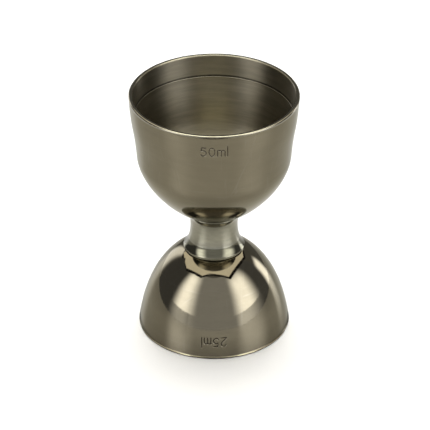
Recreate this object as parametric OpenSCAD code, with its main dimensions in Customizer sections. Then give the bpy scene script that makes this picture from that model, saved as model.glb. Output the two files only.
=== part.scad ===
// Bar jigger: a 50 ml cup and an inverted 25 ml cup, screwed together through a
// waisted neck. +Z is up and the origin is the centre of the rim it stands on.
// Every piece is a solid of revolution about Z.

/* [Whole] */
// Overall height, rim to rim
height = 86; // [82:0.5:92]

/* [Upper cup] */
// Outside radius of the rim
upper_rim_r = 27.7; // [26.5:0.1:29]
// Outside radius at the top of the belly, where the straight flare starts
belly_r = 25.3; // [24.5:0.1:26]
// Height of the top of the belly above the cup's seat
belly_h = 21.2; // [19:0.1:23]
// Depth of the 50 ml line below the rim
upper_line_depth = 7.75; // [6:0.05:10]

/* [Lower cup] */
// Outside radius of the rim it stands on
lower_rim_r = 25.1; // [24:0.1:26.5]
// Height of the cup, crown to rim
lower_cup_h = 28.7; // [27:0.1:30.5]
// Depth of the 25 ml line below the rim
lower_line_depth = 4.8; // [3:0.05:7]

/* [Cup walls] */
// Thickness below the measuring line, floor included
wall = 1.35; // [1.3:0.05:1.8]
// Thickness from the measuring line to the rim
lip_wall = 1.2; // [1:0.1:1.2]
// Rounding of the two edges of each rim
lip_round = 0.45; // [0.2:0.05:0.48]
// Radius of the flat that each cup is clamped on
seat_r = 8.9; // [8.8:0.1:9.3]

/* [Neck] */
// Length, seat to seat
neck_h = 14.2; // [14:0.1:16]
// Radius at the waist
waist_r = 7.85; // [7.8:0.05:8.2]
// Height of the waist above the lower seat
waist_h = 8.4; // [8:0.1:9.4]
// Radius of the flared collar at the bottom
collar_r = 10.1; // [9.8:0.1:10.6]
// Height of the collar's upright edge
collar_edge_h = 0.9; // [0.6:0.1:1.2]
// Radius of the flare at the top
neck_top_r = 9.3; // [9.1:0.1:9.6]

/* [Screw joint] */
// Outside diameter of the stud's thread
stud_d = 6; // [5:0.5:6]
// Thread pitch
pitch = 1; // [0.8:0.1:1]
// Radius of the stud's weld flange and of the threaded boss
foot_r = 5; // [4.5:0.1:5]
// Thickness of the stud's weld flange
flange_t = 1.2; // [1:0.1:1.4]
// Height of the threaded boss
boss_h = 8; // [7:0.1:8.4]
// Leg of the weld fillets
weld_leg = 1; // [0.8:0.1:1]

/* [Seals] */
// Middle radius of the two sealing rings
seal_r = 7.7; // [7.6:0.05:7.75]
// Width of a ring pressed flat between the metal faces
seal_w = 1.1; // [1:0.1:1.2]
// Depth of the groove that holds it
seal_h = 0.7; // [0.5:0.1:0.8]

/* [Hidden] */

lower_seat_z = lower_cup_h;
upper_seat_z = lower_seat_z + neck_h;
upper_cup_h = height - upper_seat_z;

// Smoothness of the turned surfaces and of the curves in their outlines
round_fn = 96;
curve_steps = 30;
arc_steps = 5;

// Radial gap round the feet and the stud inside the neck
foot_gap = 1.5;
stud_gap = 0.2;
// Length of the neck that is bored only for the stud
web_h = 2.6;
// Radial clearance of the thread, and of each ring in its groove
thread_gap = 0.05;
groove_gap = 0.1;
// Small broken edges on the neck and the screw parts
edge = 0.2;
stud_tip_gap = 0.8;

steel_grey = [0.50, 0.475, 0.40];
satin_grey = [0.46, 0.44, 0.37];
bare_steel = [0.74, 0.74, 0.75];
weld_metal = [0.58, 0.55, 0.52];
black_rubber = [0.06, 0.06, 0.06];

// ---- Curves -------------------------------------------------------------

// Point and direction on a cubic Bezier curve through p[0] and p[3]
function bezier(p, t) =
    pow(1 - t, 3) * p[0] + 3 * pow(1 - t, 2) * t * p[1]
    + 3 * (1 - t) * pow(t, 2) * p[2] + pow(t, 3) * p[3];

function bezier_dir(p, t) =
    3 * pow(1 - t, 2) * (p[1] - p[0]) + 6 * (1 - t) * t * (p[2] - p[1])
    + 3 * pow(t, 2) * (p[3] - p[2]);

// The curve moved by d towards its left
function bezier_offset(p, t, d) =
    let (v = bezier_dir(p, t))
    bezier(p, t) + d * [-v[1], v[0]] / norm(v);

function curve(p, d = 0, steps = curve_steps) =
    [for (i = [0 : steps]) bezier_offset(p, i / steps, d)];

// Points of an arc, end angles included
function arc(centre, r, a0, a1, steps = arc_steps) =
    [for (i = [0 : steps])
        let (a = a0 + (a1 - a0) * i / steps)
        centre + r * [cos(a), sin(a)]];

// The next handle past joint b, so that two curves meet with one tangent
function handle_past(a, b, reach) = b + reach * (b - a) / norm(b - a);

// ---- Cups, drawn mouth up with the seat at z = 0 ------------------------

// Outline of the upper cup: a full belly, then an almost straight flare
upper_belly = [
    [seat_r, 0],
    [seat_r + 1.9, 0],
    [belly_r - 0.8, belly_h / 2 + 0.1],
    [belly_r, belly_h]
];
upper_flare = [
    upper_belly[3],
    handle_past(upper_belly[2], upper_belly[3], belly_h / 2 + 0.8),
    [upper_rim_r - 0.6, upper_cup_h - 11.9],
    [upper_rim_r, upper_cup_h]
];

// Outline of the lower cup: one dome from the crown to the rim
lower_dome = [
    [seat_r, 0],
    [seat_r + 2.6, 0.15],
    [lower_rim_r - 2.5, 6.9],
    [lower_rim_r, lower_cup_h]
];

// Points of the outlines, moved inwards by d, that lie between two heights
function wall_line(curves, d, low, high) =
    [for (c = curves, p = curve(c, d)) if (p[1] > low && p[1] < high) p];

// Radius of the same line at height h
function wall_r(curves, d, h) =
    lookup(h, [for (c = curves, p = curve(c, d)) [p[1], p[0]]]);

function reversed(points) = [for (i = [len(points) - 1 : -1 : 0]) points[i]];

// A drawn cup: thick to the measuring line, a narrow ledge there, then
// a thinner lip with both edges rounded and a flat land between them
module cup_shell(curves, rim_r, h, line_h) {
    rim_z = h - lip_round;
    ledge = wall - lip_wall;
    lip_r = wall_r(curves, lip_wall, line_h);
    body_r = wall_r(curves, wall, line_h);
    outline = concat(
        [[0, 0], [seat_r, 0]],
        wall_line(curves, 0, 0, rim_z),
        arc([rim_r - lip_round, rim_z], lip_round, 0, 90),
        arc([rim_r - lip_wall + lip_round, rim_z], lip_round, 90, 180),
        reversed(wall_line(curves, lip_wall, line_h, rim_z)),
        [[lip_r, line_h]],
        arc([body_r + ledge / 2, line_h - ledge / 2], ledge / 2, 90, 180),
        reversed(wall_line(curves, wall, wall, line_h - ledge)),
        [[seat_r, wall], [0, wall]]);
    rotate_extrude($fn = round_fn) polygon(outline);
}

module upper_cup() {
    color(steel_grey)
    translate([0, 0, upper_seat_z])
        cup_shell([upper_belly, upper_flare], upper_rim_r, upper_cup_h,
            upper_cup_h - upper_line_depth);
}

module lower_cup() {
    color(steel_grey)
    translate([0, 0, lower_seat_z])
    mirror([0, 0, 1])
        cup_shell([lower_dome], lower_rim_r, lower_cup_h,
            lower_cup_h - lower_line_depth);
}

// ---- Neck, drawn with the lower seat at z = 0 ---------------------------

collar_flare = [
    [collar_r - 0.1, collar_edge_h + 0.1],
    [collar_r - 1.2, collar_edge_h + 1.3],
    [waist_r + 0.1, waist_h / 2],
    [waist_r, waist_h]
];
top_flare = [
    collar_flare[3],
    [waist_r, waist_h + 2.4],
    [waist_r + 0.35, neck_h - 1.6],
    [neck_top_r, neck_h - edge]
];

// Ring of rectangular section, from z up
module ring(inner_r, outer_r, z, h) {
    translate([0, 0, z])
    rotate_extrude($fn = round_fn)
        translate([inner_r, 0]) square([outer_r - inner_r, h]);
}

module neck_blank() {
    skin = concat(
        [[0, 0], [collar_r - edge, 0], [collar_r, edge], [collar_r, collar_edge_h]],
        curve(collar_flare),
        [for (p = curve(top_flare)) if (p[1] > waist_h) p],
        [[neck_top_r - edge, neck_h], [0, neck_h]]);
    rotate_extrude($fn = round_fn) polygon(skin);
}

module neck() {
    pocket_r = foot_r + foot_gap;
    top_pocket_h = flange_t + weld_leg;
    web_z = neck_h - top_pocket_h - web_h;
    groove_in = seal_r - seal_w / 2 - groove_gap;
    groove_out = seal_r + seal_w / 2 + groove_gap;
    color(satin_grey)
    translate([0, 0, lower_seat_z])
    difference() {
        neck_blank();
        translate([0, 0, -1]) cylinder(r = stud_d / 2 + stud_gap, h = neck_h + 2, $fn = round_fn);
        translate([0, 0, -1]) cylinder(r = pocket_r, h = web_z + 1, $fn = round_fn);
        translate([0, 0, neck_h - top_pocket_h])
            cylinder(r = pocket_r, h = top_pocket_h + 1, $fn = round_fn);
        ring(groove_in, groove_out, -1, seal_h + 1);
        ring(groove_in, groove_out, neck_h - seal_h, seal_h + 1);
    }
}

// ---- Screw joint --------------------------------------------------------

// Flanged stud, welded under the upper cup, threaded to its tip
module stud() {
    r = stud_d / 2;
    tip_z = lower_seat_z + stud_tip_gap;
    flange_z = upper_seat_z - flange_t;
    turns = floor((flange_z - tip_z - 2) / pitch);
    root_r = r - 0.6 * pitch;
    thread = [for (i = [0 : turns - 1]) each [
        [r, tip_z + 1 + i * pitch],
        [r, tip_z + 1 + (i + 0.25) * pitch],
        [root_r, tip_z + 1 + (i + 0.6) * pitch]
    ]];
    color(bare_steel)
    rotate_extrude($fn = round_fn)
        polygon(concat([[0, tip_z], [root_r, tip_z]], thread,
            [[r, tip_z + 1 + turns * pitch], [r, flange_z],
             [foot_r - edge, flange_z], [foot_r, flange_z + edge],
             [foot_r, upper_seat_z], [0, upper_seat_z]]));
}

// Threaded boss, welded on the crown of the lower cup
module boss() {
    bore_r = stud_d / 2 + thread_gap;
    color(bare_steel)
    translate([0, 0, lower_seat_z])
    difference() {
        rotate_extrude($fn = round_fn)
            polygon([[0, 0], [foot_r, 0], [foot_r, boss_h - 2 * edge],
                [foot_r - 2 * edge, boss_h], [0, boss_h]]);
        translate([0, 0, -1]) cylinder(r = bore_r, h = boss_h + 2, $fn = round_fn);
    }
}

// Fillet weld round a foot that stands on a seat at z = 0
module weld_fillet() {
    color(weld_metal)
    rotate_extrude($fn = round_fn)
        polygon(concat([[foot_r, 0], [foot_r + weld_leg, 0]],
            arc([foot_r + weld_leg, weld_leg], weld_leg, 260, 190),
            [[foot_r, weld_leg]]));
}

module stud_weld() {
    translate([0, 0, upper_seat_z]) mirror([0, 0, 1]) weld_fillet();
}

module boss_weld() {
    translate([0, 0, lower_seat_z]) weld_fillet();
}

// ---- Seals --------------------------------------------------------------

// Round-edged ring, pressed to the depth of its groove
module seal_ring() {
    straight = seal_w - seal_h;
    color(black_rubber)
    rotate_extrude($fn = round_fn)
    translate([seal_r, seal_h / 2]) {
        square([straight, seal_h], center = true);
        for (side = [-1, 1])
            translate([side * straight / 2, 0]) circle(d = seal_h, $fn = 32);
    }
}

module upper_seal() {
    translate([0, 0, upper_seat_z - seal_h]) seal_ring();
}

module lower_seal() {
    translate([0, 0, lower_seat_z]) seal_ring();
}

upper_cup();
lower_cup();
neck();
stud();
boss();
stud_weld();
boss_weld();
upper_seal();
lower_seal();
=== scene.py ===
"""Looks of the bar jigger: two plated steel cups, screwed together through a turned neck.

Every piece is a surface worked out on a grid with numpy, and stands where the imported
model has it. Lengths are in metres, +Z is up, and -Y is the side with the capacity marks.
"""

from __future__ import annotations

import logging
import math
from abc import ABC, abstractmethod
from dataclasses import dataclass, field, replace
from enum import Enum
from typing import ClassVar, Union

import bpy
import numpy as np
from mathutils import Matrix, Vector


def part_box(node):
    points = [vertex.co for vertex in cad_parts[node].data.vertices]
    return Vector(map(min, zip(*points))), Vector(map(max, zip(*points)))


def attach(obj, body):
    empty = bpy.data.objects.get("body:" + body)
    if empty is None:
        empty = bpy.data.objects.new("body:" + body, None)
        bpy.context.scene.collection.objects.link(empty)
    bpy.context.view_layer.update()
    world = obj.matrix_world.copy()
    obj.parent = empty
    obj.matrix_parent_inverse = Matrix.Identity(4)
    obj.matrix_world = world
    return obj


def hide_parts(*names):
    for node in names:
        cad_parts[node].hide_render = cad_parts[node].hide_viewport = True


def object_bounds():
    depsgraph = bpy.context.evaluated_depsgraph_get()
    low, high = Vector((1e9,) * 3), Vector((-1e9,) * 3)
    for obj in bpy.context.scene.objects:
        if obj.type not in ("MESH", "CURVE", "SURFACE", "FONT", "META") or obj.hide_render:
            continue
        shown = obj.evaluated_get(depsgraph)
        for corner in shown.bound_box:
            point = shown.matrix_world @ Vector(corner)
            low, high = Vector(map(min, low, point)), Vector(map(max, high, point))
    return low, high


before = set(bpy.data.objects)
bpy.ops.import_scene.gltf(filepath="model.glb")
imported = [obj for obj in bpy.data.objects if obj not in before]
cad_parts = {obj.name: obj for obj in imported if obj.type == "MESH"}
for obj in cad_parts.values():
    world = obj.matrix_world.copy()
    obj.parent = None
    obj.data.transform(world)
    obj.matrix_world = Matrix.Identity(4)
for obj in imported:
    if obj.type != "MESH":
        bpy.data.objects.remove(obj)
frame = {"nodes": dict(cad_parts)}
CAD_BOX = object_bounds()

LOG = logging.getLogger("jigger")
MM = 0.001
TURN = 2 * math.pi
FRONT = -math.pi / 2
AT_AXIS = 1e-7

Array = np.ndarray
Point = tuple[float, float]
Colour = tuple[float, float, float]
Socket = bpy.types.NodeSocket
Value = Union[Socket, float, tuple]


# ---- Curves in the half plane (radius, height) -----------------------------------


@dataclass(frozen=True)
class Bezier:
    """A cubic Bezier curve: (1-t)^3 a + 3 (1-t)^2 t b + 3 (1-t) t^2 c + t^3 d."""

    a: Point
    b: Point
    c: Point
    d: Point

    def sample(self, inwards: float = 0.0, count: int = 1500) -> Array:
        """Points of the curve, moved along its normal.

        Args:
            inwards: distance that the curve is moved towards its left-hand side.
            count: number of points, both ends included.

        Returns:
            The points, one a row.
        """
        a, b, c, d = np.array([self.a, self.b, self.c, self.d])
        t = np.linspace(0, 1, count)[:, None]
        s = 1 - t
        point = s**3 * a + 3 * s**2 * t * b + 3 * s * t**2 * c + t**3 * d
        along = 3 * s**2 * (b - a) + 6 * s * t * (c - b) + 3 * t**2 * (d - c)
        normal = np.stack([-along[:, 1], along[:, 0]], 1)
        return point + inwards * normal / np.linalg.norm(along, axis=1)[:, None]


def handle_past(a: Point, b: Point, reach: float) -> Point:
    """The point at a distance past b on the line from a, so that two curves share a tangent.

    Args:
        a: the handle before the joint.
        b: the joint.
        reach: the distance past it.

    Returns:
        The handle after the joint.
    """
    share = reach / math.dist(a, b)
    return (b[0] + share * (b[0] - a[0]), b[1] + share * (b[1] - a[1]))


def arc(centre: Point, radius: float, start: float, end: float, count: int = 33) -> Array:
    """Points of a circle's arc: centre + radius (cos a, sin a).

    Args:
        centre: the circle's centre.
        radius: its radius.
        start: the first angle a, in degrees.
        end: the last angle, in degrees.
        count: number of points.

    Returns:
        The points, one a row.
    """
    a = np.radians(np.linspace(start, end, count))
    return np.array(centre) + radius * np.stack([np.cos(a), np.sin(a)], 1)


def shade(colour: Colour, by: float) -> Colour:
    """A colour made lighter or darker by a factor."""
    return tuple(c * by for c in colour)


def lengths(points: Array) -> Array:
    """Distance along a polyline from its first point to each of its points."""
    steps = np.linalg.norm(np.diff(points, axis=0), axis=1)
    return np.concatenate([[0.0], np.cumsum(steps)])


def between(points: Array, low: float, high: float) -> Array:
    """The part of a rising or falling curve between two heights, cut exactly at both.

    Args:
        points: the curve.
        low: the lower height.
        high: the higher height.

    Returns:
        The points of the part, in the curve's own order.
    """
    up = points if points[-1, 1] > points[0, 1] else points[::-1]
    ends = [[np.interp(h, up[:, 1], up[:, 0]), h] for h in (low, high)]
    inner = up[(up[:, 1] > low) & (up[:, 1] < high)]
    part = np.vstack([ends[:1], inner, ends[1:]])
    return part if up is points else part[::-1]


# ---- Outlines and the grids that they sweep ----------------------------------------


@dataclass(frozen=True)
class Stretch:
    """One part of an outline.

    points lie close together on a curve. step is the spacing of the mesh's rows along the
    stretch, and zone is its material slot. edge goes from 1, where handling rubs the metal
    bright, to -1, where a painted shade darkens a corner.
    """

    points: Array
    step: float = 0.5 * MM
    zone: int = 0
    edge: float = 0.0


def straight(a: Point, b: Point, step: float = 1 * MM, zone: int = 0, edge: float = 0.0) -> Stretch:
    """A straight stretch, to which Outline.rows() gives a row close to each end.

    Args:
        a: its first point.
        b: its last point.
        step: the spacing of the rows.
        zone: its material slot.
        edge: its wear.

    Returns:
        The stretch.
    """
    return Stretch(np.array([a, b], float), step, zone, edge)


def chain(start: Point, *legs: tuple[Point, float, float]) -> list[Stretch]:
    """Straight stretches end to end.

    Args:
        start: the first point.
        legs: each stretch's last point, the spacing of its rows and its wear.

    Returns:
        The stretches.
    """
    ends = [start, *(leg[0] for leg in legs)]
    return [straight(a, b, step, edge=edge) for a, b, (_, step, edge) in zip(ends, ends[1:], legs)]


@dataclass(frozen=True)
class Grid:
    """A surface of revolution on a grid of outline rows and azimuth columns.

    A point is (r cos a, r sin a, z), with its row's r and z and its column's azimuth a.
    cut is how deep the surface is engraved at each point, as a share of the full depth.
    """

    r: Array
    z: Array
    azimuth: Array
    along: Array
    zone: Array
    edge: Array
    closed: bool = False
    cut: Array | None = None

    def points(self) -> Array:
        """All the points, as rows by columns by 3."""
        x = self.r * np.cos(self.azimuth)
        y = self.r * np.sin(self.azimuth)
        return np.stack([x, y, self.z], -1)

    def normals(self) -> Array:
        """Unit normals: the cross product of the slopes along the columns and the rows.

        Returns:
            The normals, as rows by columns by 3.
        """
        p = self.points()
        a = np.concatenate([[self.azimuth[-1] - TURN], self.azimuth, [self.azimuth[0] + TURN]])
        on = np.gradient(np.concatenate([p[:, -1:], p, p[:, :1]], 1), a, axis=1)[:, 1:-1]
        if self.closed:
            gap = np.linalg.norm(p[0, 0] - p[-1, 0])
            s = np.concatenate([[self.along[0] - gap], self.along, [self.along[-1] + gap]])
            up = np.gradient(np.concatenate([p[-1:], p, p[:1]]), s, axis=0)[1:-1]
        else:
            up = np.gradient(p, self.along, axis=0)
        unit = np.stack([-np.sin(self.azimuth), np.cos(self.azimuth), 0 * self.azimuth], -1)
        pole = (self.r < AT_AXIS)[..., None]
        normal = np.cross(np.where(pole, unit[None], on), up)
        normal[pole[..., 0], :2] = 0
        return normal / np.linalg.norm(normal, axis=-1, keepdims=True)

    def sunk(self, depth: Array, full: float) -> Grid:
        """The same surface pressed in along its normals.

        Args:
            depth: how far each point goes in.
            full: the depth that counts as a cut of 1.

        Returns:
            The new grid.
        """
        n = self.normals()
        out = n[..., 0] * np.cos(self.azimuth) + n[..., 1] * np.sin(self.azimuth)
        return replace(self, r=self.r - depth * out, z=self.z - depth * n[..., 2], cut=depth / full)


@dataclass(frozen=True)
class Outline:
    """Stretches that run from the axis back to it, or round a closed section, facing outwards.

    Material lies to the left of the way that an outline runs. A long straight stretch gets a
    row at the end gap from each of its ends, and rows closer than the merge distance are one.
    """

    stretches: list[Stretch]
    closed: bool = False
    end_gap: ClassVar[float] = 0.06 * MM
    long: ClassVar[float] = 0.3 * MM
    merge: ClassVar[float] = 2e-6

    def line(self) -> Array:
        """All the points of the outline, one a row."""
        return np.vstack([s.points for s in self.stretches])

    def moved(self, up: float) -> Outline:
        """The outline moved up."""
        made = [replace(s, points=s.points + [0, up]) for s in self.stretches]
        return replace(self, stretches=made)

    def turned_over(self, level: float) -> Outline:
        """The outline mirrored so that height 0 comes to the level, run the other way round.

        Args:
            level: the height that the outline's height 0 comes to.

        Returns:
            The outline.
        """
        made = [replace(s, points=(s.points * [1, -1] + [0, level])[::-1])
                for s in self.stretches[::-1]]
        return replace(self, stretches=made)

    def rows(self, fine: tuple[float, float, float] | None = None) -> tuple[Array, Array, Array]:
        """Where the mesh's rows lie.

        Args:
            fine: a first and a last distance along the outline, and the spacing between them.

        Returns:
            The rows' distances along the outline, each following strip's zone, and each
            row's edge wear.
        """
        s = lengths(self.line())
        ends = np.cumsum([len(k.points) for k in self.stretches])
        spans = [(s[e - len(k.points)], s[e - 1], k) for e, k in zip(ends, self.stretches)]
        rows = []
        for a, b, k in spans:
            rows.append(np.linspace(a, b, max(2, math.ceil((b - a) / k.step) + 1)))
            if len(k.points) == 2 and b - a > self.long:
                rows.append([a + self.end_gap, b - self.end_gap])
        rows = np.sort(np.concatenate(rows))
        if fine:
            a, b, step = fine
            rows = rows[(rows < a - step) | (rows > b + step)]
            rows = np.sort(np.concatenate([rows, np.linspace(a, b, math.ceil((b - a) / step) + 1)]))
        rows = rows[np.concatenate([[True], np.diff(rows) > self.merge])]
        if self.closed and np.linalg.norm(self.line()[0] - self.line()[-1]) < self.merge:
            rows = rows[:-1]
        middle = (rows + np.append(rows[1:], s[-1])) / 2
        starts = np.array([a for a, _, _ in spans])
        zone = np.array([k.zone for _, _, k in spans])[np.searchsorted(starts, middle, "right") - 1]
        on = [(rows >= a - 1e-9) & (rows <= b + 1e-9) for a, b, _ in spans]
        wear = [np.where(m, k.edge, 0) for m, (_, _, k) in zip(on, spans)]
        return rows, zone, np.max(wear, 0) + np.min(wear, 0)

    def swept(self, azimuth: Array, fine: tuple[float, float, float] | None = None) -> Grid:
        """The surface that the outline sweeps round Z.

        Args:
            azimuth: the columns' azimuths, rising, without the first one repeated.
            fine: a stretch of closer rows, as in rows().

        Returns:
            The grid.
        """
        line = self.line()
        s = lengths(line)
        rows, zone, edge = self.rows(fine)
        shape = (len(rows), len(azimuth))
        r = np.broadcast_to(np.interp(rows, s, line[:, 0])[:, None], shape)
        z = np.broadcast_to(np.interp(rows, s, line[:, 1])[:, None], shape)
        return Grid(r, z, azimuth, rows, zone, edge, self.closed)


def columns(step: float, fine: float = 0.0, half: float = 0.0) -> Array:
    """Azimuths round the axis from the back, closer together about the front.

    Args:
        step: spacing in radians.
        fine: spacing in radians near the front, or 0.
        half: how far to each side of the front the close spacing reaches.

    Returns:
        Rising azimuths over one turn, without the first one repeated.
    """
    start = FRONT - math.pi
    if not fine:
        return start + np.arange(round(TURN / step)) * TURN / round(TURN / step)
    side = math.pi - half
    outer = np.linspace(0, side, math.ceil(side / step) + 1)[:-1]
    inner = np.linspace(-half, half, math.ceil(2 * half / fine) + 1)[:-1]
    return np.concatenate([start + outer, FRONT + inner, FRONT + half + outer])


def quads_of(rows: int, count: int, closed: bool) -> Array:
    """Corner numbers of the quads between neighbouring rows and columns.

    Args:
        rows: number of rows.
        count: number of columns, which always close round the axis.
        closed: True if the last row joins the first.

    Returns:
        One quad a row, its corners running so that it faces outwards.
    """
    i = np.arange(rows if closed else rows - 1)[:, None]
    j = np.arange(count)[None, :]
    up, on = (i + 1) % rows, (j + 1) % count
    corners = [i * count + j, i * count + on, up * count + on, up * count + j]
    return np.stack(np.broadcast_arrays(*corners), -1).reshape(-1, 4)


def in_scene(name: str, data: bpy.types.ID) -> bpy.types.Object:
    """A new object that shows the data, linked to the scene.

    Args:
        name: its name.
        data: the mesh, lamp or camera that it shows.

    Returns:
        The object.
    """
    obj = bpy.data.objects.new(name, data)
    bpy.context.scene.collection.objects.link(obj)
    return obj


def mesh_of(name: str, grid: Grid, finishes: list[bpy.types.Material]) -> bpy.types.Object:
    """Builds a grid's closed mesh with exact normals, and rides it on the body.

    A row at radius zero becomes one pole, closed by a fan. The UV map "turned" holds the
    azimuth as a share of a turn, and the distance along the outline in metres.

    Args:
        name: the piece's name.
        grid: the surface.
        finishes: the material slots that the grid's zones number.

    Returns:
        The new object.
    """
    rows, count = grid.r.shape
    quads = quads_of(rows, count, grid.closed)
    row = np.repeat(np.arange(len(quads) // count), count)
    column = np.tile(np.arange(count), len(quads) // count)
    keep = np.ones(quads.shape, bool)
    for k, corner in ((0, 1), (rows - 1, 3)):
        if grid.r[k].max() < AT_AXIS and not grid.closed:
            quads = np.where(quads // count == k, k * count, quads)
            keep[row == (0 if k == 0 else rows - 2), corner] = False
    sizes = keep.sum(1)
    used, loops = np.unique(quads[keep], return_inverse=True)

    turn = np.append((grid.azimuth - grid.azimuth[0]) / TURN, 1.0)
    gap = np.linalg.norm(grid.points()[0, 0] - grid.points()[-1, 0])
    along = np.append(grid.along, grid.along[-1] + gap)
    u = np.stack([turn[column], turn[column + 1], turn[column + 1], turn[column]], 1)
    v = np.stack([along[row], along[row], along[row + 1], along[row + 1]], 1)

    mesh = bpy.data.meshes.new(name)
    mesh.vertices.add(len(used))
    mesh.vertices.foreach_set("co", grid.points().reshape(-1, 3)[used].astype(np.float32).ravel())
    mesh.loops.add(len(loops))
    mesh.loops.foreach_set("vertex_index", loops.astype(np.int32).ravel())
    mesh.polygons.add(len(sizes))
    mesh.polygons.foreach_set("loop_start", np.append(0, np.cumsum(sizes)[:-1]).astype(np.int32))
    mesh.polygons.foreach_set("material_index", grid.zone[row].astype(np.int32))
    mesh.update(calc_edges=True)
    mesh.polygons.foreach_set("use_smooth", np.ones(len(sizes), bool))
    uv = np.stack([u[keep], v[keep]], 1).astype(np.float32)
    mesh.uv_layers.new(name="turned").data.foreach_set("uv", uv.ravel())
    cut = np.zeros(grid.r.shape) if grid.cut is None else grid.cut
    for label, value in (("edge", grid.edge[used // count]), ("cut", cut.ravel()[used])):
        mesh.attributes.new(label, "FLOAT", "POINT").data.foreach_set("value", value.astype(np.float32))
    mesh.normals_split_custom_set_from_vertices(grid.normals().reshape(-1, 3)[used].tolist())
    for finish in finishes:
        mesh.materials.append(finish)
    obj = in_scene(name, mesh)
    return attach(obj, "root")


# ---- Engraved capacity marks ---------------------------------------------------------


def bow(x: float, y: float, rx: float, ry: float, start: float, end: float) -> Array:
    """Points of an ellipse's arc about (x, y), with the angles in degrees."""
    return np.array([x, y]) + np.array([rx, ry]) * arc((0, 0), 1, start, end, 19)


TALL = 1.14


class Glyph(Enum):
    """Plain characters of one stroke width, in a box 1 high, with their widths.

    The letter l is taller than the box.
    """

    FIVE = ("5", 0.6)
    ZERO = ("0", 0.62)
    TWO = ("2", 0.6)
    EM = ("m", 0.76)
    ELL = ("l", 0.0)

    @property
    def wide(self) -> float:
        """The character's width as a share of its height."""
        return self.value[1]

    def strokes(self) -> list[Array]:
        """The lines that make up the character, as points.

        Returns:
            One array of points for each line.
        """
        if self is Glyph.FIVE:
            flag = [[0.56, 1], [0.12, 1], [0.07, 0.57]]
            return [np.vstack([flag, bow(0.29, 0.33, 0.3, 0.33, 125, -145)])]
        if self is Glyph.ZERO:
            return [bow(0.31, 0.5, 0.3, 0.5, 0, 360)]
        if self is Glyph.TWO:
            return [np.vstack([bow(0.31, 0.71, 0.28, 0.29, 165, -28), [[0.02, 0], [0.6, 0]]])]
        if self is Glyph.EM:
            arches = [np.vstack([bow(x, 0.5, 0.19, 0.21, 180, 0), [[x + 0.19, 0]]])
                      for x in (0.19, 0.57)]
            return [np.array([[0, 0.71], [0, 0.0]]), *arches]
        return [np.array([[0, 0], [0, TALL]])]


@dataclass(frozen=True)
class Mark:
    """A capacity mark, cut into a cup's outside at the front.

    base is the height of the characters' feet. A mark that is read with the jigger turned
    over is flipped. flat is the share of a stroke's width that is cut to the full depth.
    """

    text: str
    base: float
    flipped: bool = False
    height: float = 3.1 * MM
    gap: float = 0.85 * MM
    stroke: float = 0.42 * MM
    depth: float = 0.14 * MM
    flat: float = 0.3

    def segments(self) -> Array:
        """Both ends of every short straight line of the mark, with x centred.

        Returns:
            One line a row: x and z of its first end, then of its last.
        """
        glyphs = [next(g for g in Glyph if g.value[0] == c) for c in self.text]
        left = -(sum(g.wide for g in glyphs) * self.height + self.gap * (len(glyphs) - 1)) / 2
        made = []
        for g in glyphs:
            lines = [s * self.height + [left, 0] for s in g.strokes()]
            made += [np.hstack([k[:-1], k[1:]]) for k in lines]
            left += g.wide * self.height + self.gap
        return np.vstack(made)

    def half_width(self) -> float:
        """Half the mark's width, with a stroke to spare."""
        return float(np.abs(self.segments()[:, [0, 2]]).max()) + self.stroke

    def span(self) -> Point:
        """The lowest and the highest height of the mark, with a stroke to spare.

        Returns:
            The two heights.
        """
        tall = TALL * self.height + self.stroke
        below, above = (tall, self.stroke) if self.flipped else (self.stroke, tall)
        return (self.base - below, self.base + above)

    def cut_into(self, grid: Grid, zone: int) -> Grid:
        """Engraves the mark: depth (1 - smoothstep(distance from a stroke's middle)).

        Args:
            grid: the cup's surface.
            zone: the material slot of the side that is engraved.

        Returns:
            The engraved surface.
        """
        sign = -1.0 if self.flipped else 1.0
        low, high = self.span()
        turn = (grid.azimuth - FRONT + math.pi) % TURN - math.pi
        x = sign * turn[None, :] * grid.r
        near = (np.abs(x) < self.half_width()) & (grid.z > low) & (grid.z < high)
        near &= (grid.zone == zone)[:, None]
        p = np.stack([x[near], sign * (grid.z[near] - self.base)], 1)[:, None, :]
        ends = self.segments()[None]
        a, run = ends[..., :2], ends[..., 2:] - ends[..., :2]
        t = np.clip(((p - a) * run).sum(-1) / (run**2).sum(-1), 0, 1)
        far = np.linalg.norm(p - a - t[..., None] * run, axis=-1).min(1) / (self.stroke / 2)
        flank = np.clip((far - self.flat) / (1 - self.flat), 0, 1)
        depth = np.zeros(grid.r.shape)
        depth[near] = self.depth * (1 - flank * flank * (3 - 2 * flank))
        return grid.sunk(depth, self.depth)


# ---- Shader nodes ------------------------------------------------------------------


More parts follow.
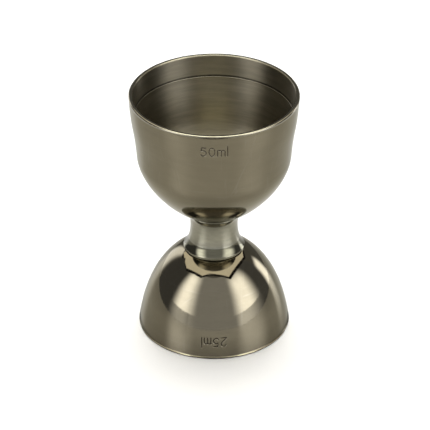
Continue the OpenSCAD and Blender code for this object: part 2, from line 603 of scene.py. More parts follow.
@dataclass(frozen=True)
class Graph:
    """Short ways to add nodes to one node tree."""

    tree: bpy.types.NodeTree

    @classmethod
    def of(cls, owner: bpy.types.ID) -> Graph:
        """Gives a new material or world an empty node tree of its own.

        Args:
            owner: the material or world.

        Returns:
            The tree's graph.
        """
        owner.use_nodes = True
        owner.node_tree.nodes.clear()
        return cls(owner.node_tree)

    def add(self, kind: str, inputs: dict[str | int, Value] | None = None,
            **settings: object) -> bpy.types.Node:
        """Adds a node.

        Args:
            kind: the node's type, without "ShaderNode".
            inputs: values or sockets for its inputs, by name or number.
            settings: the node's own properties.

        Returns:
            The node.
        """
        node = self.tree.nodes.new(kind if kind.startswith("NodeGroup") else "ShaderNode" + kind)
        for key, value in settings.items():
            setattr(node, key, value)
        for key, value in (inputs or {}).items():
            self.feed(node.inputs[key], value)
        return node

    def feed(self, socket: Socket, value: Value) -> None:
        """Links a socket to an input, or sets the input to a plain value.

        Args:
            socket: the input.
            value: what it is given.
        """
        if isinstance(value, bpy.types.NodeSocket):
            self.tree.links.new(value, socket)
        elif isinstance(value, tuple) and len(value) == 3 and socket.type == "RGBA":
            socket.default_value = (*value, 1.0)
        else:
            socket.default_value = value

    def math(self, operation: str, a: Value, b: Value = 0.0, c: Value = 0.0) -> Socket:
        """The result of a Math node."""
        return self.add("Math", {0: a, 1: b, 2: c}, operation=operation).outputs[0]

    def step(self, value: Value, low: Value, high: Value, start: float = 0.0,
             end: float = 1.0) -> Socket:
        """A smooth step from start to end as the value goes from low to high."""
        inputs = {"Value": value, "From Min": low, "From Max": high, "To Min": start, "To Max": end}
        return self.add("MapRange", inputs, interpolation_type="SMOOTHSTEP").outputs[0]

    def blend(self, share: Value, a: Value, b: Value) -> Socket:
        """A colour that goes from a to b as the share goes from 0 to 1."""
        return self.add("Mix", {0: share, 6: a, 7: b}, data_type="RGBA").outputs[2]

    def uneven(self, share: Value, colour: Colour, contrast: float) -> Socket:
        """A colour, from darker to lighter by the contrast as the share goes from 0 to 1."""
        return self.blend(share, shade(colour, 1 - contrast), shade(colour, 1 + contrast))

    def bump(self, height: Value, distance: float = MM, strength: float = 1.0) -> Socket:
        """The normals of a surface with a fine relief."""
        inputs = {"Height": height, "Distance": distance, "Strength": strength}
        return self.add("Bump", inputs).outputs[0]

    def noise(self, place: Value, scale: Value = 1.0, detail: float = 2.0,
              rough: float = 0.5) -> Socket:
        """A noise about 0.5 at a place."""
        inputs = {"Vector": place, "Scale": scale, "Detail": detail, "Roughness": rough}
        return self.add("TexNoise", inputs).outputs["Fac"]

    def spot(self) -> Socket:
        """The place on the piece, in metres."""
        return self.add("TexCoord").outputs["Object"]

    def scaled(self, place: Socket, size: tuple[float, float, float], turn: float = 0.0) -> Socket:
        """The place, turned about X and Z and multiplied along each axis."""
        inputs = {"Vector": place, "Rotation": (turn, 0.6 * turn, turn), "Scale": size}
        return self.add("Mapping", inputs, vector_type="POINT").outputs[0]

    def attribute(self, name: str) -> Socket:
        """The value of a mesh attribute."""
        return self.add("Attribute", attribute_name=name).outputs["Fac"]


class Effect(ABC):
    """A shader node group, built once and placed in each material with its own values."""

    label: ClassVar[str]
    takes: ClassVar[dict[str, float]]
    gives: ClassVar[tuple[str, ...]]

    @abstractmethod
    def draw(self, g: Graph, given: bpy.types.NodeOutputs) -> tuple[Socket, ...]:
        """Adds the group's nodes.

        Args:
            g: the group's graph.
            given: the group's inputs.

        Returns:
            One socket for each of the group's outputs.
        """

    def tree(self) -> bpy.types.NodeTree:
        """The node group, made at its first use.

        Returns:
            The group's node tree.
        """
        made = bpy.data.node_groups.get(self.label)
        if made:
            return made
        made = bpy.data.node_groups.new(self.label, "ShaderNodeTree")
        for name, value in self.takes.items():
            entry = made.interface.new_socket(name, in_out="INPUT", socket_type="NodeSocketFloat")
            entry.default_value = value
        for name in self.gives:
            made.interface.new_socket(name, in_out="OUTPUT", socket_type="NodeSocketFloat")
        g = Graph(made)
        given, out = g.add("NodeGroupInput"), g.add("NodeGroupOutput")
        for name, socket in zip(self.gives, self.draw(g, given.outputs)):
            g.feed(out.inputs[name], socket)
        return made

    def placed(self, g: Graph, **values: float) -> bpy.types.NodeOutputs:
        """Places the group in a material.

        Args:
            g: the material's graph.
            values: inputs that differ from their usual values.

        Returns:
            The group's outputs.
        """
        node = g.tree.nodes.new("ShaderNodeGroup")
        node.node_tree = self.tree()
        for name, value in values.items():
            node.inputs[name].default_value = value
        return node.outputs


class TurningLines(Effect):
    """Fine lines that run round the piece, as a lathe, a spinning chuck or a belt leaves them.

    A noise is read at (cos azimuth, sin azimuth) times a small number and the distance
    along the outline times a large one, so each line goes round and slowly fades.
    """

    label = "Turning lines"
    takes = {"Lines per mm": 8.0, "Breaks": 3.0}
    gives = ("Lines", "Bands")

    def draw(self, g: Graph, given: bpy.types.NodeOutputs) -> tuple[Socket, ...]:
        """Lines is the fine pattern about 0.5, and Bands a coarse one, ten times wider.

        Args:
            g: the group's graph.
            given: its inputs.

        Returns:
            Lines and Bands.
        """
        flat = g.add("VectorMath", {0: g.spot(), 1: (1.0, 1.0, 0.0)}, operation="MULTIPLY").outputs[0]
        unit = g.add("VectorMath", {0: flat}, operation="NORMALIZE").outputs[0]
        ring = g.add("VectorMath", {0: unit, "Scale": given["Breaks"]}, operation="SCALE").outputs[0]
        x, y, _ = g.add("SeparateXYZ", {0: ring}).outputs
        along = g.add("SeparateXYZ", {0: g.add("UVMap", uv_map="turned").outputs[0]}).outputs[1]
        made = []
        for share in (1000.0, 100.0):
            v = g.math("MULTIPLY", g.math("MULTIPLY", along, given["Lines per mm"]), share)
            made.append(g.noise(g.add("CombineXYZ", {0: x, 1: y, 2: v}).outputs[0], 1.0, 3.0, 0.6))
        return tuple(made)


class HairScratches(Effect):
    """Sparse hairline scratches from handling, in three directions.

    Each set is where a stretched noise crosses its middle value, which is a long thin
    line, kept only where a coarse noise is high.
    """

    label = "Hair scratches"
    takes = {"Per mm": 1.2, "Width": 0.02}
    gives = ("Scratches",)

    def draw(self, g: Graph, given: bpy.types.NodeOutputs) -> tuple[Socket, ...]:
        """Scratches is 1 on a scratch and 0 beside it.

        Args:
            g: the group's graph.
            given: its inputs.

        Returns:
            Scratches.
        """
        spot = g.add("VectorMath", {0: g.spot(), "Scale": 1000.0}, operation="SCALE").outputs[0]
        total: Socket | None = None
        for turn, size in ((0.3, (1, 0.02, 0.02)), (1.1, (0.02, 1, 0.02)), (2.3, (0.02, 0.02, 1))):
            place = g.scaled(spot, size, turn)
            n = g.noise(place, given["Per mm"], 1.0, 0.4)
            off = g.math("ABSOLUTE", g.math("SUBTRACT", n, 0.5))
            line = g.step(off, 0.0, given["Width"], 1.0, 0.0)
            patch = g.step(g.noise(place, g.math("MULTIPLY", given["Per mm"], 0.7), 2.0), 0.5, 0.62)
            both = g.math("MULTIPLY", line, patch)
            total = both if total is None else g.math("MAXIMUM", total, both)
        return (total,)


class Handling(Effect):
    """Wiped patches and faint smears of touched metal, from two noises laid over each other."""

    label = "Handling"
    takes = {"Size mm": 9.0}
    gives = ("Smear",)

    def draw(self, g: Graph, given: bpy.types.NodeOutputs) -> tuple[Socket, ...]:
        """Smear goes from 0 on clean metal to 1 on smeared metal.

        Args:
            g: the group's graph.
            given: its inputs.

        Returns:
            Smear.
        """
        scale = g.math("DIVIDE", 1000.0, given["Size mm"])
        wide = g.step(g.noise(g.scaled(g.spot(), (1, 1, 0.7)), scale, 3.0), 0.42, 0.68)
        fine = g.noise(g.scaled(g.spot(), (1, 0.5, 1), 0.8), g.math("MULTIPLY", scale, 6.0), 4.0, 0.65)
        return (g.math("MULTIPLY", wide, g.step(fine, 0.3, 0.75)),)


class EdgeWearAndCornerShade(Effect):
    """Rubbed edges and corners in painted shade: the mesh's edge attribute, broken up by a noise."""

    label = "Edge wear and corner shade"
    takes = {"Amount": 0.6}
    gives = ("Worn", "Corner shade")

    def draw(self, g: Graph, given: bpy.types.NodeOutputs) -> tuple[Socket, ...]:
        """Worn rises to the amount on rubbed edges; the other output, a painted shade, to 1 in corners.

        Args:
            g: the group's graph.
            given: its inputs.

        Returns:
            Worn, and the painted corner shade.
        """
        edge, noise = g.attribute("edge"), g.noise(g.spot(), 420.0, 4.0, 0.6)
        patchy = g.math("MULTIPLY", g.step(noise, 0.35, 0.65, 0.35, 1.0), given["Amount"])
        # Painted shade: corners whose edge value is below 0 are darkened, broken up by the noise.
        dull = g.math("MULTIPLY", g.math("MAXIMUM", g.math("MULTIPLY", edge, -1.0), 0.0),
                      g.step(noise, 0.3, 0.7, 0.75, 1.0))
        return (g.math("MULTIPLY", g.math("MAXIMUM", edge, 0.0), patchy), dull)


# ---- Finishes ----------------------------------------------------------------------


class Finish(ABC):
    """A surface finish that can make its material."""

    label: str
    metallic: ClassVar[float] = 1.0

    @abstractmethod
    def inputs(self, g: Graph) -> dict[str, Value]:
        """Adds the finish's nodes.

        Args:
            g: the material's graph.

        Returns:
            The values of the Principled BSDF's inputs, by name.
        """

    def material(self) -> bpy.types.Material:
        """The finish's material, made at its first use.

        Returns:
            The material.
        """
        made = bpy.data.materials.get(self.label)
        if made:
            return made
        made = bpy.data.materials.new(self.label)
        g = Graph.of(made)
        shader = g.add("BsdfPrincipled", {"Metallic": self.metallic, **self.inputs(g)})
        g.feed(g.add("OutputMaterial").inputs[0], shader.outputs[0])
        return made


@dataclass(frozen=True)
class PolishedPlating(Finish):
    """Black-nickel plating on buffed steel: a warm dark mirror with hairlines and faint smears."""

    label: str = "polished_plating"
    colour: Colour = (0.195, 0.171, 0.117)
    worn: Colour = (0.36, 0.345, 0.30)
    cut: Colour = (0.035, 0.03, 0.022)
    roughness: float = 0.05
    smeared: float = 0.11
    lines: float = 5.0
    line_height: float = 0.0012
    contrast: float = 0.03
    specular: Colour = (0.88, 0.88, 0.84)
    scratch_shine: float = 0.1
    scratch_rough: float = 0.04
    scratch_depth: float = 0.0006
    cut_rough: float = 0.35
    worn_rough: float = 0.06

    def inputs(self, g: Graph) -> dict[str, Value]:
        """Colour, roughness and bump from wear, smears, scratches and polishing lines.

        Args:
            g: the material's graph.

        Returns:
            The shader's inputs.
        """
        worn = EdgeWearAndCornerShade().placed(g)["Worn"]
        smear = Handling().placed(g)["Smear"]
        scratch = HairScratches().placed(g)["Scratches"]
        lines = TurningLines().placed(g, **{"Lines per mm": self.lines})
        cut = g.attribute("cut")
        tone = g.uneven(g.step(lines["Bands"], 0.3, 0.7), self.colour, self.contrast)
        tone = g.blend(g.math("MULTIPLY", scratch, self.scratch_shine), tone, self.worn)
        tone = g.blend(worn, tone, self.worn)
        rough = g.math("MULTIPLY_ADD", smear, self.smeared - self.roughness, self.roughness)
        rough = g.math("MULTIPLY_ADD", scratch, self.scratch_rough, rough)
        rough = g.math("MULTIPLY_ADD", cut, self.cut_rough, rough)
        rough = g.math("MULTIPLY_ADD", worn, self.worn_rough, rough)
        height = g.math("SUBTRACT", g.math("MULTIPLY", lines["Lines"], self.line_height),
                        g.math("MULTIPLY", scratch, self.scratch_depth))
        return {"Base Color": g.blend(cut, tone, self.cut), "Specular Tint": self.specular,
                "Roughness": rough, "Normal": g.bump(height)}


@dataclass(frozen=True)
class TurnedPlating(Finish):
    """The same plating over turned or brushed metal, whose lines spread light across them."""

    label: str = "satin_plating"
    colour: Colour = (0.215, 0.192, 0.138)
    worn: Colour = (0.34, 0.31, 0.23)
    corner_shade_colour: Colour = (0.03, 0.026, 0.02)
    roughness: float = 0.32
    spread: float = 0.95
    lines: float = 7.0
    line_height: float = 0.006
    contrast: float = 0.12
    line_rough: float = 0.08
    smear_rough: float = 0.04

    def inputs(self, g: Graph) -> dict[str, Value]:
        """Colour, roughness and bump from the lines, smears and wear, and painted shade in corners.

        Args:
            g: the material's graph.

        Returns:
            The shader's inputs.
        """
        wear = EdgeWearAndCornerShade().placed(g)
        smear = Handling().placed(g, **{"Size mm": 6.0})["Smear"]
        lines = TurningLines().placed(g, **{"Lines per mm": self.lines, "Breaks": 2.0})
        mixed = g.math("MULTIPLY_ADD", lines["Bands"], 0.6, g.math("MULTIPLY", lines["Lines"], 0.4))
        tone = g.uneven(g.step(mixed, 0.35, 0.65), self.colour, self.contrast)
        # Painted shade: a dark shadow line in the corner above the measuring ledge.
        tone = g.blend(wear["Corner shade"], tone, self.corner_shade_colour)
        rough = g.math("MULTIPLY_ADD", lines["Lines"], self.line_rough,
                       self.roughness - self.line_rough / 2)
        tangent = g.add("Tangent", direction_type="RADIAL", axis="Z")
        return {"Base Color": g.blend(wear["Worn"], tone, self.worn),
                "Roughness": g.math("MULTIPLY_ADD", smear, self.smear_rough, rough),
                "Anisotropic": self.spread, "Anisotropic Rotation": 0.25,
                "Tangent": tangent.outputs[0],
                "Normal": g.bump(g.math("MULTIPLY", lines["Lines"], self.line_height))}


@dataclass(frozen=True)
class BareSteel(Finish):
    """Uncoated machined stainless steel, bright on its edges, with tool marks round it.

    Thread roots hold a dark trace of cutting oil.
    """

    label: str = "machined_steel"
    colour: Colour = (0.50, 0.49, 0.46)
    worn: Colour = (0.62, 0.61, 0.58)
    oily: Colour = (0.16, 0.14, 0.11)
    roughness: float = 0.23
    dark: float = 0.85
    oil: float = 0.8
    line_rough: float = 0.15
    line_height: float = 0.006

    def inputs(self, g: Graph) -> dict[str, Value]:
        """Colour, roughness and bump from tool marks, oil and wear.

        Args:
            g: the material's graph.

        Returns:
            The shader's inputs.
        """
        worn = EdgeWearAndCornerShade().placed(g, Amount=0.8)["Worn"]
        lines = TurningLines().placed(g, **{"Lines per mm": 9.0, "Breaks": 1.5})
        tone = g.blend(lines["Bands"], shade(self.colour, self.dark), self.colour)
        tone = g.blend(g.math("MULTIPLY", g.attribute("cut"), self.oil), tone, self.oily)
        return {"Base Color": g.blend(worn, tone, self.worn),
                "Roughness": g.math("MULTIPLY_ADD", lines["Lines"], self.line_rough, self.roughness),
                "Normal": g.bump(g.math("MULTIPLY", lines["Lines"], self.line_height))}


@dataclass(frozen=True)
class WeldMetal(Finish):
    """Weld bead: rippled steel with straw, violet and blue heat tint along its toes."""

    label: str = "weld_metal"
    colour: Colour = (0.42, 0.39, 0.34)
    straw: Colour = (0.42, 0.28, 0.11)
    blue: Colour = (0.10, 0.13, 0.24)
    tinted: float = 0.8

    def inputs(self, g: Graph) -> dict[str, Value]:
        """Colour, roughness and bump from the distance to the bead's toes and a noise.

        Args:
            g: the material's graph.

        Returns:
            The shader's inputs.
        """
        spot = g.spot()
        patch = g.noise(spot, 600.0, 4.0, 0.6)
        toe = g.attribute("edge")
        tint = g.blend(g.step(patch, 0.4, 0.65), self.straw, self.blue)
        return {"Base Color": g.blend(g.math("MULTIPLY", toe, self.tinted), self.colour, tint),
                "Roughness": g.step(patch, 0.3, 0.7, 0.28, 0.45),
                "Normal": g.bump(g.noise(spot, 2500.0, 3.0), 0.02 * MM, 0.6)}


@dataclass(frozen=True)
class SealRubber(Finish):
    """Black food-grade rubber with a dusty bloom and the dull grain of its mould."""

    label: str = "seal_rubber"
    colour: Colour = (0.018, 0.018, 0.019)
    bloom: Colour = (0.055, 0.054, 0.052)
    roughness: float = 0.62
    bloom_rough: float = 0.2
    metallic: ClassVar[float] = 0.0

    def inputs(self, g: Graph) -> dict[str, Value]:
        """Colour, roughness and bump from bloom and mould grain.

        Args:
            g: the material's graph.

        Returns:
            The shader's inputs.
        """
        bloom = Handling().placed(g, **{"Size mm": 3.0})["Smear"]
        grain = g.noise(g.spot(), 4000.0, 2.0)
        return {"Base Color": g.blend(bloom, self.colour, self.bloom),
                "Roughness": g.math("MULTIPLY_ADD", bloom, self.bloom_rough, self.roughness),
                "Normal": g.bump(grain, 0.02 * MM, 0.5)}


# ---- Pieces ------------------------------------------------------------------------


def reach(node: str) -> tuple[float, float, float]:
    """A CAD node's outer radius, lowest height and highest height."""
    low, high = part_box(node)
    return high.x, low.z, high.z


def shown(obj: bpy.types.Object, node: str) -> bpy.types.Object:
    """Makes a piece stand for its CAD node, and reports it.

    Args:
        obj: the piece.
        node: the CAD node that it replaces.

    Returns:
        The piece.
    """
    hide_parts(node)
    LOG.info("%s: %d faces, stands for %s", obj.name, len(obj.data.polygons), node)
    return obj


class Side(Enum):
    """Material slots of a cup."""

    OUTSIDE = 0
    INSIDE = 1


@dataclass
class Cup(ABC):
    """A spun steel cup with rolled-round lips, a measuring ledge inside and a mark outside.

    The outline is drawn mouth up with the seat at height 0. line_depth is the depth of the
    measuring line below the rim. fine is the spacing of the mesh where the mark is cut, over
    spare times the mark's width.
    """

    node: str
    mark: Mark
    line_depth: float
    wall: float = 1.35 * MM
    lip_wall: float = 1.2 * MM
    lip_round: float = 0.45 * MM
    inner_round: float = 0.12 * MM
    seat_r: float = 8.9 * MM
    knee: float = 2.2 * MM
    # Height of the painted shade band above the measuring ledge.
    ledge_shade_h: float = 0.45 * MM
    wear: float = 0.45
    fine: float = 0.085 * MM
    spare: float = 1.15
    upside_down: bool = False
    outside: Finish = field(default_factory=PolishedPlating)
    inside: Finish = field(default_factory=TurnedPlating)

    def __post_init__(self) -> None:
        """Takes the rim's radius and the cup's height from the CAD node."""
        self.rim_r, self.low, self.high = reach(self.node)
        self.height = self.high - self.low

    @abstractmethod
    def curves(self) -> list[Bezier]:
        """The curves of the cup's outside, from the seat to the rim."""

    def wall_line(self, inwards: float) -> Array:
        """The outside's curves moved inwards, as one line of points."""
        return np.vstack([c.sample(inwards) for c in self.curves()])

    def outline(self) -> Outline:
        """The cup's section: seat, outside, round lip, thin lip, ledge, inside, bend, floor.

        Returns:
            The outline, at the cup's place in the jigger.
        """
        line_h = self.height - self.line_depth
        rim_z, r, small = self.height - self.lip_round, self.lip_round, self.inner_round
        ledge = self.wall - self.lip_wall
        out, thin, thick = self.wall_line(0), self.wall_line(self.lip_wall), self.wall_line(self.wall)
        lip_in, corner = self.rim_r - self.lip_wall, line_h + self.ledge_shade_h
        inside = between(thick, self.wall, line_h - ledge)
        inside = inside[inside[:, 0] > self.seat_r + self.knee]
        step_r, within = inside[-1, 0], Side.INSIDE.value
        bend = self.floor_bend(inside[0], inside[1])
        made = [
            straight((0, 0), (self.seat_r, 0), 2 * MM),
            Stretch(between(out, 0, rim_z), 0.55 * MM),
            Stretch(arc((self.rim_r - r, rim_z), r, 0, 90), 0.09 * MM, edge=self.wear),
            straight((self.rim_r - r, self.height), (lip_in + small, self.height), edge=self.wear),
            Stretch(arc((lip_in + small, self.height - small), small, 90, 180), 0.04 * MM, edge=self.wear),
            Stretch(between(thin, corner, self.height - small)[::-1], 0.4 * MM, within),
            # Painted shade: this band just above the measuring ledge is darkened as the ledge's shadow line.
            Stretch(between(thin, line_h, corner)[::-1], 0.15 * MM, within, edge=-1.0),
            Stretch(arc((step_r + ledge / 2, line_h - ledge / 2), ledge / 2, 90, 180), 0.03 * MM, within,
                    edge=-0.1),
            Stretch(inside[::-1], 0.5 * MM, within),
            Stretch(bend, 0.3 * MM, within),
            straight((bend[-1, 0], self.wall), (0, self.wall), 1.2 * MM, within),
        ]
        return Outline(made).turned_over(self.high) if self.upside_down else Outline(made).moved(self.low)

    def floor_bend(self, start: Array, above: Array) -> Array:
        """The round bend between the wall's inside and the flat floor.

        It is a curve whose handles reach two thirds of the way to the corner where the
        wall's tangent meets the floor, and it is as long on the floor as on the wall.

        Args:
            start: the wall's lowest point.
            above: the next point up the wall.

        Returns:
            The bend's points, from the wall to the floor.
        """
        run = (above - start) / (above[1] - start[1])
        meet = start - run * (start[1] - self.wall)
        end = meet - [np.linalg.norm(start - meet), 0]
        handles = [tuple(p + (meet - p) * 2 / 3) for p in (start, end)]
        return Bezier(tuple(start), *handles, tuple(end)).sample(count=200)

    def grid(self) -> Grid:
        """The cup's surface, with close rows and columns where the mark is cut.

        Returns:
            The engraved grid.
        """
        outline = self.outline()
        line = outline.line()
        s = lengths(line)
        low, high = self.mark.span()
        ids = np.concatenate([np.full(len(k.points), k.zone) for k in outline.stretches])
        at = s[(ids == Side.OUTSIDE.value) & (line[:, 1] > low) & (line[:, 1] < high)]
        half = self.mark.half_width() / self.rim_r * self.spare
        azimuth = columns(math.radians(1.6), self.fine / self.rim_r, half)
        grid = outline.swept(azimuth, (at.min(), at.max(), self.fine))
        return self.mark.cut_into(grid, Side.OUTSIDE.value)

    def build(self) -> bpy.types.Object:
        """Builds the cup and dresses it inside and outside."""
        finishes = [self.outside.material(), self.inside.material()]
        return shown(mesh_of(self.node + "_plated", self.grid(), finishes), self.node)


@dataclass
class UpperCup(Cup):
    """The 50 ml cup: a full belly, then an almost straight flare to the rim.

    The curves are shaped by their handles: seat_pull runs out along the seat, belly_lean and
    belly_lift place the one under the belly, flare_reach lengthens the one above it, and
    rim_lean and rim_pull place the one under the rim.
    """

    belly_r: float = 25.3 * MM
    belly_h: float = 21.2 * MM
    seat_pull: float = 1.9 * MM
    belly_lean: float = 0.8 * MM
    belly_lift: float = 0.1 * MM
    flare_reach: float = 0.8 * MM
    rim_lean: float = 0.6 * MM
    rim_pull: float = 11.9 * MM

    def curves(self) -> list[Bezier]:
        """The belly's curve and the flare's curve, with one tangent at the joint.

        Returns:
            The two curves.
        """
        top = (self.belly_r, self.belly_h)
        before = (self.belly_r - self.belly_lean, self.belly_h / 2 + self.belly_lift)
        after = handle_past(before, top, self.belly_h / 2 + self.flare_reach)
        under = (self.rim_r - self.rim_lean, self.height - self.rim_pull)
        return [Bezier((self.seat_r, 0), (self.seat_r + self.seat_pull, 0), before, top),
                Bezier(top, after, under, (self.rim_r, self.height))]


@dataclass
class LowerCup(Cup):
    """The 25 ml cup: one dome from the crown to the rim that it stands on.

    crown is its curve's first handle, counted from the seat's edge. shoulder is its second
    one, counted inwards from the rim's radius and up from the seat.
    """

    crown: Point = (2.6 * MM, 0.15 * MM)
    shoulder: Point = (2.5 * MM, 6.9 * MM)

    def curves(self) -> list[Bezier]:
        """The dome's single curve.

        Returns:
            The one curve.
        """
        crown = (self.seat_r + self.crown[0], self.crown[1])
        shoulder = (self.rim_r - self.shoulder[0], self.shoulder[1])
        return [Bezier((self.seat_r, 0), crown, shoulder, (self.rim_r, self.height))]


@dataclass
class Neck:
    """The turned neck: a collar with an upright edge, a waist and a flare, bored for the screw.

    foot_pull places its lower curve's first handle, inwards and up from the collar's edge,
    and mouth_pull its upper curve's last one, outwards from the waist and down from the top.
    waist_ease and top_pull place the handles beside the waist.
    """

    node: str = "neck"
    collar_edge_h: float = 0.9 * MM
    collar_bevel: float = 0.1 * MM
    waist_r: float = 7.85 * MM
    waist_h: float = 8.4 * MM
    top_r: float = 9.3 * MM
    edge: float = 0.2 * MM
    pocket_r: float = 6.5 * MM
    bore_r: float = 3.2 * MM
    web_h: float = 2.6 * MM
    top_pocket_h: float = 2.2 * MM
    groove_r: float = 7.7 * MM
    groove_w: float = 1.3 * MM
    groove_h: float = 0.7 * MM
    polished_shaded_h: float = 3.6 * MM
    foot_pull: Point = (1.2 * MM, 1.3 * MM)
    waist_ease: float = 0.1 * MM
    top_pull: float = 2.4 * MM
    mouth_pull: Point = (0.35 * MM, 1.6 * MM)
    finish: Finish = field(default_factory=lambda: TurnedPlating(
        "turned_plating", (0.275, 0.262, 0.198), roughness=0.1, spread=0.9, lines=9.0,
        line_height=0.0022, contrast=0.1))
    # The collar's plating is about half as bright as the waist's. This is painted shade for the darker light
    # that the lower flare and collar mirror; its lower roughness makes a polished band.
    collar: Finish = field(default_factory=lambda: TurnedPlating(
        "collar_painted_shade", (0.138, 0.130, 0.088), roughness=0.06, spread=0.85, lines=12.0,
        line_height=0.0016, contrast=0.12))

    def outline(self) -> Outline:
        """The neck's closed section, from the collar's outer foot up and back through the bore.

        Returns:
            The outline, at the neck's place in the jigger.
        """
        r, low, high = reach(self.node)
        h, e = high - low, self.edge
        edge_h, small = self.collar_edge_h, self.collar_bevel
        waist = (self.waist_r, self.waist_h)
        foot = (r - self.foot_pull[0], edge_h + self.foot_pull[1])
        flare = Bezier((r - small, edge_h + small), foot,
                       (self.waist_r + self.waist_ease, self.waist_h / 2), waist)
        mouth = (self.waist_r + self.mouth_pull[0], h - self.mouth_pull[1])
        top = Bezier(waist, (self.waist_r, self.waist_h + self.top_pull), mouth,
                     (self.top_r, h - e))
        groove_in, groove_out = self.groove_r - self.groove_w / 2, self.groove_r + self.groove_w / 2
        web_top = h - self.top_pocket_h
        web_low, groove = web_top - self.web_h, self.groove_h
        inner = [(self.top_r - e, h), (groove_out, h), (groove_out, h - groove), (groove_in, h - groove),
                 (groove_in, h), (self.pocket_r, h), (self.pocket_r, web_top), (self.bore_r, web_top),
                 (self.bore_r, web_low), (self.pocket_r, web_low), (self.pocket_r, 0), (groove_in, 0),
                 (groove_in, groove), (groove_out, groove), (groove_out, 0), (r - e, 0)]
        made = [
            straight((r - e, 0), (r, e), 0.1 * MM, 1, edge=0.6),
            straight((r, e), (r, edge_h), 0.2 * MM, 1, edge=0.3),
            straight((r, edge_h), (r - small, edge_h + small), 0.1 * MM, 1, edge=0.8),
            # Up to this height the flare takes the collar's darker plating, a painted shade.
            Stretch(between(flare.sample(), edge_h + small, self.polished_shaded_h), 0.2 * MM, 1),
            Stretch(between(flare.sample(), self.polished_shaded_h, self.waist_h), 0.25 * MM),
            Stretch(top.sample(), 0.25 * MM),
            straight((self.top_r, h - e), (self.top_r - e, h), 0.1 * MM, edge=0.5),
            *chain(inner[0], *((p, 1 * MM, 0) for p in inner[1:])),
        ]
        return Outline(made, closed=True).moved(low)

    def build(self) -> bpy.types.Object:
        """Builds the neck and dresses its turned waist and its polished collar, whose darker plating is
        painted shade.

        Returns:
            The neck.
        """
        grid = self.outline().swept(columns(math.radians(1.5)))
        finishes = [self.finish.material(), self.collar.material()]
        return shown(mesh_of("neck_turned", grid, finishes), self.node)


@dataclass
class SealRing:
    """A rubber ring, pressed flat between its groove and a seat."""

    node: str
    width: float = 1.1 * MM
    finish: Finish = field(default_factory=SealRubber)

    def build(self) -> bpy.types.Object:
        """Builds the ring's section, two straight sides and two half circles, and sweeps it.

        Returns:
            The ring.
        """
        r, low, high = reach(self.node)
        h = (high - low) / 2
        inner, outer = r - self.width + h, r - h
        made = [straight((inner, low), (outer, low), 0.2 * MM),
                Stretch(arc((outer, low + h), h, -90, 90), 0.08 * MM),
                straight((outer, high), (inner, high), 0.2 * MM),
                Stretch(arc((inner, low + h), h, 90, 270), 0.08 * MM)]
        grid = Outline(made, closed=True).swept(columns(math.radians(3)))
        ring = mesh_of(self.node + "_pressed", grid, [self.finish.material()])
        return shown(ring, self.node)


@dataclass(frozen=True)
class Thread:
    """A right-hand thread between two heights, of crest radius r on a stud or root radius r in a hole.

    crest is half the flat crest's width, and flank the width of a flank, both in pitches.
    """

    r: float
    low: float
    high: float
    pitch: float = 1.0 * MM
    depth: float = 0.6 * MM
    crest: float = 1 / 16
    flank: float = 5 / 16

    def cut_into(self, grid: Grid) -> Grid:
        """Cuts the thread: radius r - depth * cut * fade.

        With u the distance in pitches from the nearest crest, height / pitch - azimuth /
        turn away from a whole number, cut rises in a straight line from 0 at u = crest to 1
        at u = crest + flank, and then stays flat. fade brings the thread in over its first
        pitch and out over its last.

        Args:
            grid: the piece's surface, of which only what lies within r is cut.

        Returns:
            The threaded surface, with its cut as a share of the depth.
        """
        phase = grid.z / self.pitch - grid.azimuth / TURN
        cut = np.clip((np.abs(phase - np.round(phase)) - self.crest) / self.flank, 0, 1)
        fade = np.clip(np.minimum(grid.z - self.low, self.high - grid.z) / self.pitch, 0, 1)
        on = (grid.r <= self.r + AT_AXIS) & (grid.z > self.low) & (grid.z < self.high)
        r = np.where(on, np.minimum(grid.r, self.r - self.depth * cut * fade), grid.r)
        return replace(grid, r=r, cut=np.where(on, cut * fade, 0))


@dataclass
class Stud:
    """The threaded stud under the upper cup, with the flange that is welded to the cup's seat.

    The thread starts a lead below the tip, so that it is deep there already, and stops short
    of the flange by the relief.
    """

    node: str = "stud"
    r: float = 3.0 * MM
    flange_h: float = 1.2 * MM
    tip: float = 0.6 * MM
    edge: float = 0.2 * MM
    lead: float = 1.0 * MM
    relief: float = 0.3 * MM
    finish: Finish = field(default_factory=BareSteel)

    def build(self) -> bpy.types.Object:
        """Builds the tip, the shank and the flange as one outline, and threads the shank.

        Returns:
            The stud.
        """
        foot_r, low, high = reach(self.node)
        flange, e, end_r = high - self.flange_h, self.edge, self.r - self.tip
        made = chain(
            (0, low),
            ((end_r, low), 0.6 * MM, 0),
            ((self.r, low + self.tip), 0.06 * MM, 0.6),
            ((self.r, flange), 0.06 * MM, 0),
            ((foot_r - e, flange), 0.4 * MM, 0),
            ((foot_r, flange + e), 0.1 * MM, 1),
            ((foot_r, high), 0.4 * MM, 0),
            ((0, high), 0.8 * MM, 0),
        )
        grid = Outline(made).swept(columns(math.radians(3)))
        grid = Thread(self.r, low - self.lead, flange - self.relief).cut_into(grid)
        return shown(mesh_of("stud_threaded", grid, [self.finish.material()]), self.node)


@dataclass
class Boss:
    """The tapped boss on the lower cup's crown, into which the stud screws."""

    node: str = "boss"
    bore_r: float = 3.05 * MM
    chamfer: float = 0.4 * MM
    finish: Finish = field(default_factory=BareSteel)

    def build(self) -> bpy.types.Object:
        """Builds the closed section, from the foot up and back down the bore, and taps the bore.

        Returns:
            The boss.
        """
        r, low, high = reach(self.node)
        c = self.chamfer
        made = chain(
            (r, low),
            ((r, high - c), 0.5 * MM, 0),
            ((r - c, high), 0.15 * MM, 1),
            ((self.bore_r, high), 0.3 * MM, 0),
            ((self.bore_r, low), 0.06 * MM, 0),
            ((r, low), 0.4 * MM, 0),
        )
        grid = Outline(made, closed=True).swept(columns(math.radians(3)))
        grid = Thread(self.bore_r, low, high).cut_into(grid)
        return shown(mesh_of("boss_tapped", grid, [self.finish.material()]), self.node)


